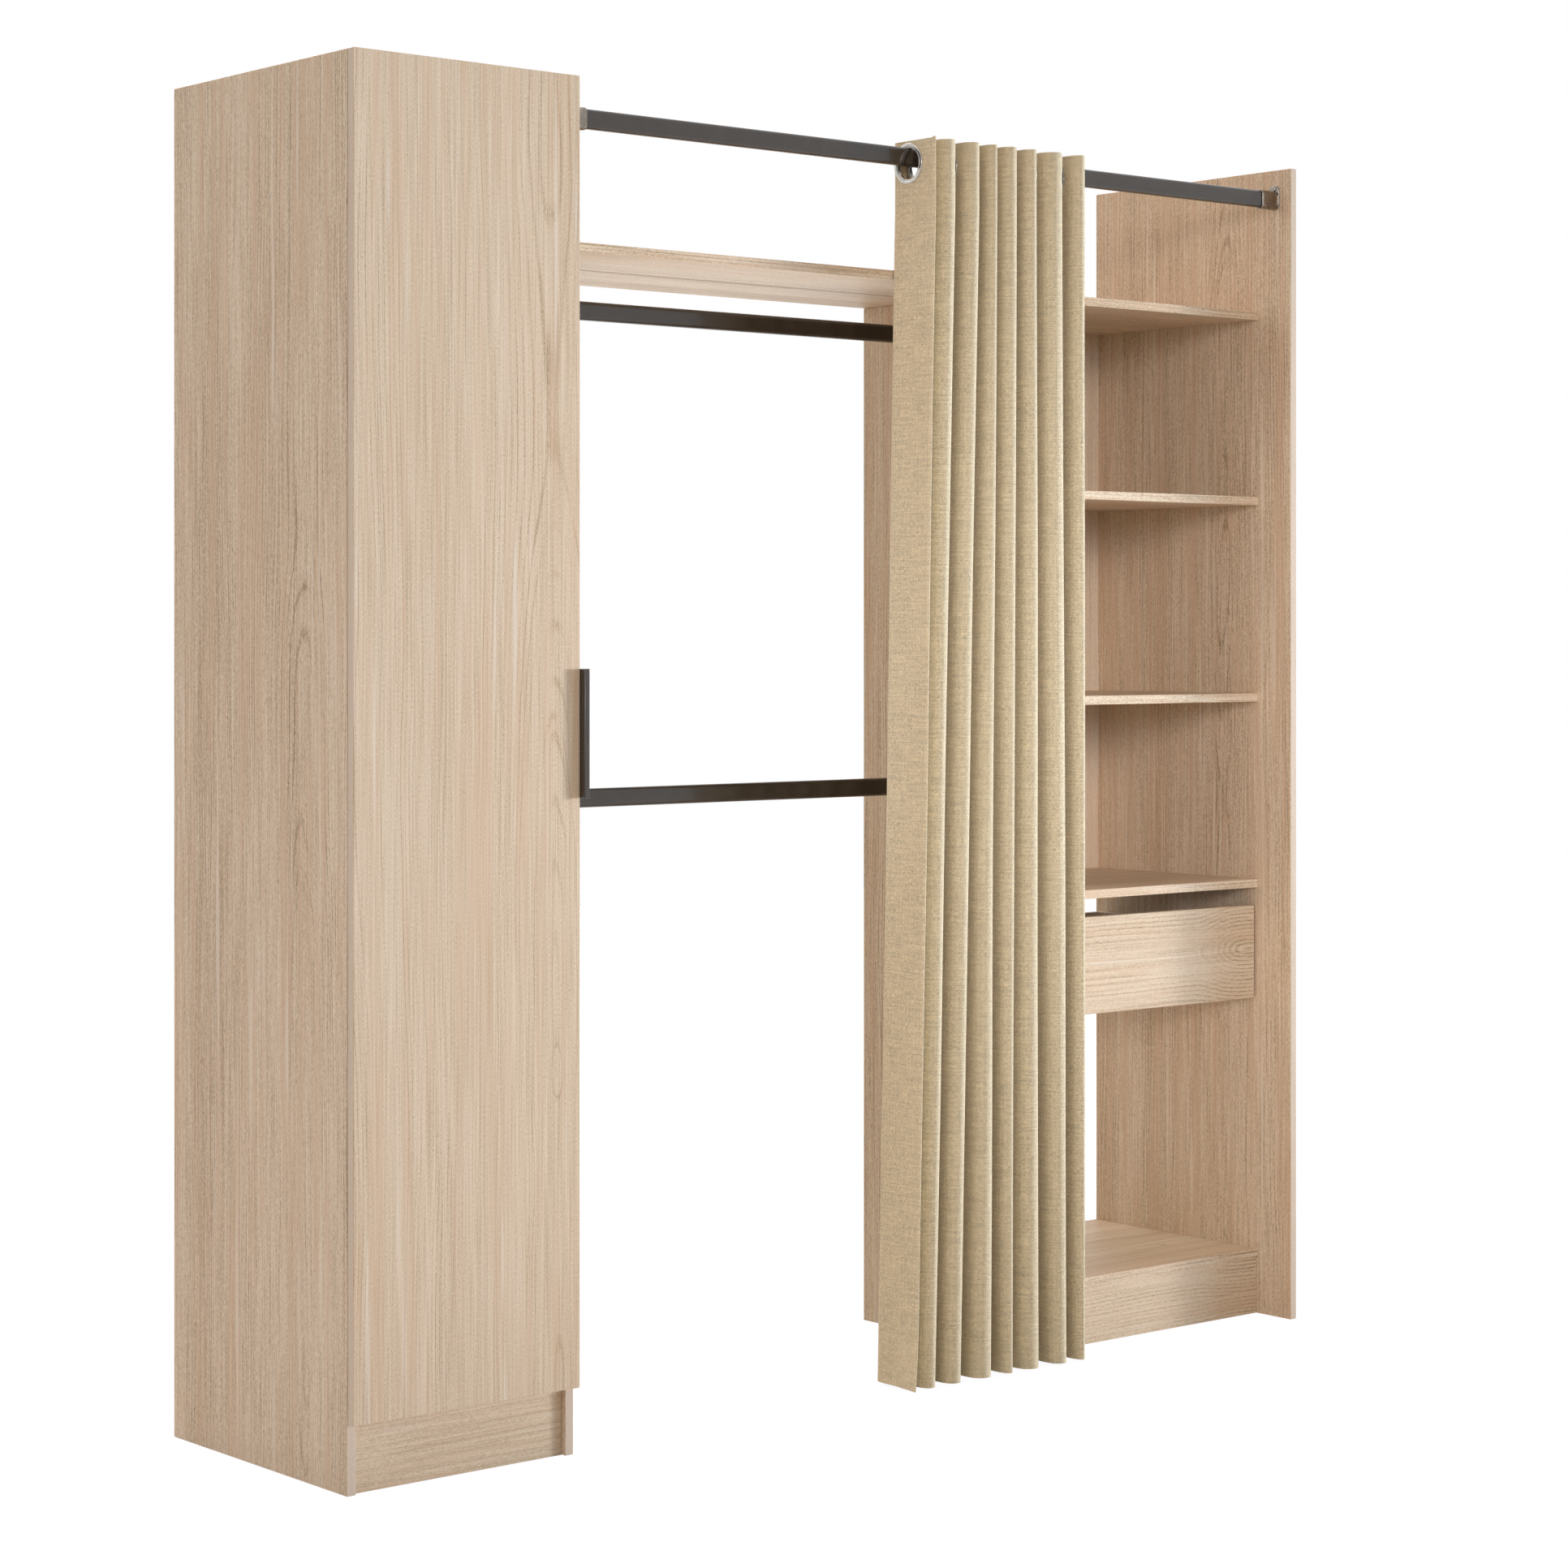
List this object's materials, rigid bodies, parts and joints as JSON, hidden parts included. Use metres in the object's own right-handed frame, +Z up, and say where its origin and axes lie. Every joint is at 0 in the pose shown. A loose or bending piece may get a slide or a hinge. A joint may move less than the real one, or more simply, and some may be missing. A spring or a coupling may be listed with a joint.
{
  "type": "closet organizer",
  "caption": "Freestanding closet organizer: tall cabinet with a door, open hanging bay with rails, shelf column with a drawer, and a long eyelet curtain gathered on a front rail.",
  "frame": {"origin": "on the floor, under the middle of the closet's width and depth", "axes": "+Z up, +X to the right seen from the front, +Y towards the wall; the door, drawer and curtain face -Y"},
  "size_m": [1.977, 0.507, 2.03],
  "materials": {
    "oak": "light oak laminate, satin",
    "hardboard": "thin oak-coloured hardboard, matt",
    "black_metal": "gloss black",
    "dark_chrome": "dark polished",
    "steel": "nickel-plated",
    "zinc": "zinc-plated",
    "linen": "fine twill, matt",
    "chrome": "polished"
  },
  "bodies": {
    "closet": {"cabinet_left_side": "oak", "cabinet_right_side": "oak", "cabinet_top": "oak", "cabinet_bottom": "oak", "cabinet_plinth": "oak", "cabinet_shelf_1": "oak", "cabinet_shelf_2": "oak", "cabinet_shelf_3": "oak", "column_partition": "oak", "column_end_panel": "oak", "column_top_shelf": "oak", "column_upper_shelf": "oak", "column_lower_shelf": "oak", "column_drawer_shelf": "oak", "column_base": "oak", "column_plinth": "oak", "hanging_shelf": "oak", "cabinet_back": "hardboard", "column_back": "hardboard", "upper_hanging_rail": "black_metal", "lower_hanging_rail": "black_metal", "curtain_rail": "black_metal", "upper_hanging_rail_left_socket": "dark_chrome", "upper_hanging_rail_right_socket": "dark_chrome", "lower_hanging_rail_left_socket": "dark_chrome", "lower_hanging_rail_right_socket": "dark_chrome", "curtain_rail_left_socket": "dark_chrome", "curtain_rail_right_socket": "dark_chrome", "hinge_arm_1": "steel", "hinge_arm_2": "steel", "hinge_arm_3": "steel", "left_runner": "zinc", "right_runner": "zinc"},
    "door": {"cabinet_door": "oak", "door_handle": "black_metal", "hinge_cup_1": "steel", "hinge_cup_2": "steel", "hinge_cup_3": "steel"},
    "drawer": {"drawer_front": "oak", "drawer_bottom": "hardboard", "drawer_back": "oak", "drawer_left_side": "oak", "drawer_right_side": "oak", "drawer_left_slide": "zinc", "drawer_right_slide": "zinc"},
    "curtain": {"curtain": "linen", "curtain_eyelet_01": "chrome", "curtain_eyelet_02": "chrome", "curtain_eyelet_03": "chrome", "curtain_eyelet_04": "chrome", "curtain_eyelet_05": "chrome", "curtain_eyelet_06": "chrome", "curtain_eyelet_07": "chrome", "curtain_eyelet_08": "chrome", "curtain_eyelet_09": "chrome", "curtain_eyelet_10": "chrome", "curtain_eyelet_11": "chrome", "curtain_eyelet_12": "chrome", "curtain_eyelet_13": "chrome", "curtain_eyelet_14": "chrome"}
  },
  "joints": [
    {"name": "door_hinge", "type": "hinge", "parent": "closet", "child": "door", "pos_m": [-0.9885, -0.225, 1], "axis": [0, 0, -1], "range_deg": [0, 105]},
    {"name": "drawer_slide", "type": "slide", "parent": "closet", "child": "drawer", "axis": [0, -1, 0], "range_m": [0, 0.27]},
    {"name": "curtain_slide", "type": "slide", "parent": "closet", "child": "curtain", "axis": [-1, 0, 0], "range_m": [-0.5, 0.63], "deforming": ["curtain"]}
  ]
}
